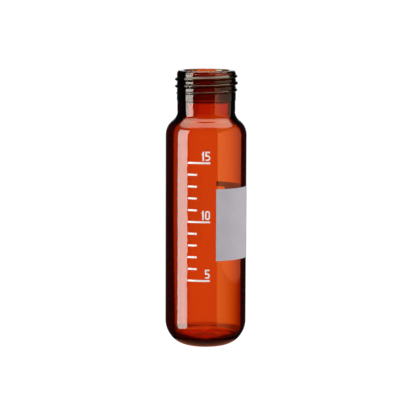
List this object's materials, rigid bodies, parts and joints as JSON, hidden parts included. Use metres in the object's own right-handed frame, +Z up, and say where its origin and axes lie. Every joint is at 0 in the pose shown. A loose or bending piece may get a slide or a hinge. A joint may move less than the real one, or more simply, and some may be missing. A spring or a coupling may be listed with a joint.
{
  "type": "screw neck glass sample vial",
  "caption": "Amber glass sample vial with a rounded base, a short screw neck, a grey write-on patch and a printed volume scale.",
  "frame": {"origin": "on the vial's axis, in the plane of the ring that it stands on", "axes": "+Z up along the vial's axis, from the base to the mouth; -Y is the front, which shows the scale and the front end of the patch; +X is the side that the patch covers"},
  "size_m": [0.0223, 0.0223, 0.076],
  "materials": {
    "amber_glass": "clear amber glass, polished",
    "patch_ink": "matt fired ink",
    "print_ink": "satin fired ink"
  },
  "bodies": {
    "root": {"glass_vial": "amber_glass", "write_on_patch": "patch_ink", "scale_print": "print_ink"}
  },
  "joints": []
}
